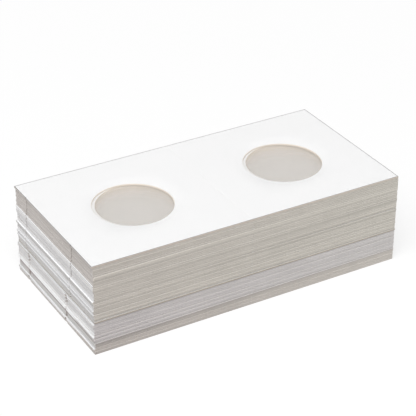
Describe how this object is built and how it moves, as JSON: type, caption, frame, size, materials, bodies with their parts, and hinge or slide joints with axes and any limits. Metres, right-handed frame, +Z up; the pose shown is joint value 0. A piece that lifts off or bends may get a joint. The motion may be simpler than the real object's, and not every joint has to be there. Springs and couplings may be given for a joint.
{
  "type": "coin holder flip stack",
  "caption": "Stack of open white paperboard coin flips, each two square leaves with round film-closed windows and a scored fold; the top flip folds shut over a coin.",
  "frame": {"origin": "centre of the lowest flip's underside, on the surface that the stack lies on", "axes": "+X along the open flips, +Y across them (parallel to the folds), +Z up out of the stack"},
  "size_m": [0.1022, 0.0511, 0.029],
  "materials": {
    "board": "white coated paperboard, matt, with raw cut edges",
    "film": "thin clear polyester film, gloss"
  },
  "bodies": {
    "bottom_bundle": {"flip_45_card": "board", "flip_46_card": "board", "flip_47_card": "board", "flip_48_card": "board", "flip_49_card": "board", "flip_50_card": "board", "bottom_bundle_films": "film"},
    "middle_bundle": {"flip_33_card": "board", "flip_34_card": "board", "flip_35_card": "board", "flip_36_card": "board", "flip_37_card": "board", "flip_38_card": "board", "flip_39_card": "board", "flip_40_card": "board", "flip_41_card": "board", "flip_42_card": "board", "flip_43_card": "board", "flip_44_card": "board", "middle_bundle_films": "film"},
    "upper_bundle": {"flip_05_card": "board", "flip_06_card": "board", "flip_07_card": "board", "flip_08_card": "board", "flip_09_card": "board", "flip_10_card": "board", "flip_11_card": "board", "flip_12_card": "board", "flip_13_card": "board", "flip_14_card": "board", "flip_15_card": "board", "flip_16_card": "board", "flip_17_card": "board", "flip_18_card": "board", "flip_19_card": "board", "flip_20_card": "board", "flip_21_card": "board", "flip_22_card": "board", "flip_23_card": "board", "flip_24_card": "board", "flip_25_card": "board", "flip_26_card": "board", "flip_27_card": "board", "flip_28_card": "board", "flip_29_card": "board", "flip_30_card": "board", "flip_31_card": "board", "flip_32_card": "board", "upper_bundle_films": "film"},
    "flip_04": {"flip_04_card": "board", "flip_04_film": "film"},
    "flip_03": {"flip_03_card": "board", "flip_03_film": "film"},
    "flip_02": {"flip_02_card": "board", "flip_02_film": "film"},
    "top_flip": {"top_flip_left_leaf": "board", "top_flip_left_film": "film"},
    "top_flip_fold_leaf": {"top_flip_right_leaf": "board", "top_flip_right_film": "film"}
  },
  "joints": [
    {"name": "middle_bundle_lift", "type": "slide", "parent": "bottom_bundle", "child": "middle_bundle", "axis": [0, 0, 1], "range_m": [0, 0.03]},
    {"name": "upper_bundle_lift", "type": "slide", "parent": "middle_bundle", "child": "upper_bundle", "axis": [0, 0, 1], "range_m": [0, 0.03]},
    {"name": "flip_04_lift", "type": "slide", "parent": "upper_bundle", "child": "flip_04", "axis": [0, 0, 1], "range_m": [0, 0.02]},
    {"name": "flip_03_lift", "type": "slide", "parent": "flip_04", "child": "flip_03", "axis": [0, 0, 1], "range_m": [0, 0.02]},
    {"name": "flip_02_lift", "type": "slide", "parent": "flip_03", "child": "flip_02", "axis": [0, 0, 1], "range_m": [0, 0.02]},
    {"name": "top_flip_lift", "type": "slide", "parent": "flip_02", "child": "top_flip", "axis": [0, 0, 1], "range_m": [0, 0.02]},
    {"name": "top_flip_fold", "type": "hinge", "parent": "top_flip", "child": "top_flip_fold_leaf", "pos_m": [-0.0002, -0.00005, 0.02905], "axis": [0, -1, 0], "range_deg": [0, 179]}
  ]
}
